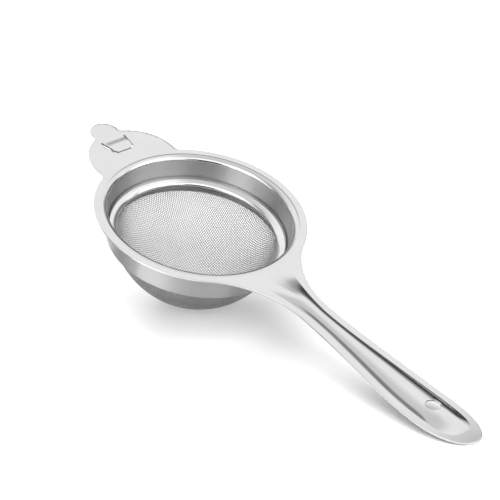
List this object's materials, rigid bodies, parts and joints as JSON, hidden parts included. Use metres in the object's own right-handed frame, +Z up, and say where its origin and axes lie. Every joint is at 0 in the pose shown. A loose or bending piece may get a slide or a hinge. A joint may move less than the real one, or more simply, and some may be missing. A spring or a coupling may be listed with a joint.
{
  "type": "tea strainer",
  "caption": "Hand-held tea strainer: flat-rimmed steel bowl with a woven wire dome, an ear with a lanced tongue to rest on a cup, and a long raised-spine handle with a hang hole.",
  "frame": {"origin": "centre of the bottom of the bounding box, on the table that the part rests on", "axes": "+Z up from the table; +X along the handle, from the bowl towards the tip; +Y completes the right-handed frame. The part is symmetric about the XZ plane, and its rim slopes down towards the handle's tip by about 15 degrees"},
  "size_m": [0.209, 0.08, 0.0538],
  "materials": {
    "frame_steel": "polished satin stainless steel",
    "ring_steel": "bright polished stainless steel",
    "wire_cloth": "woven stainless wire"
  },
  "bodies": {
    "root": {"frame_pressing": "frame_steel", "retaining_ring": "ring_steel", "mesh_basket": "wire_cloth"}
  },
  "joints": []
}
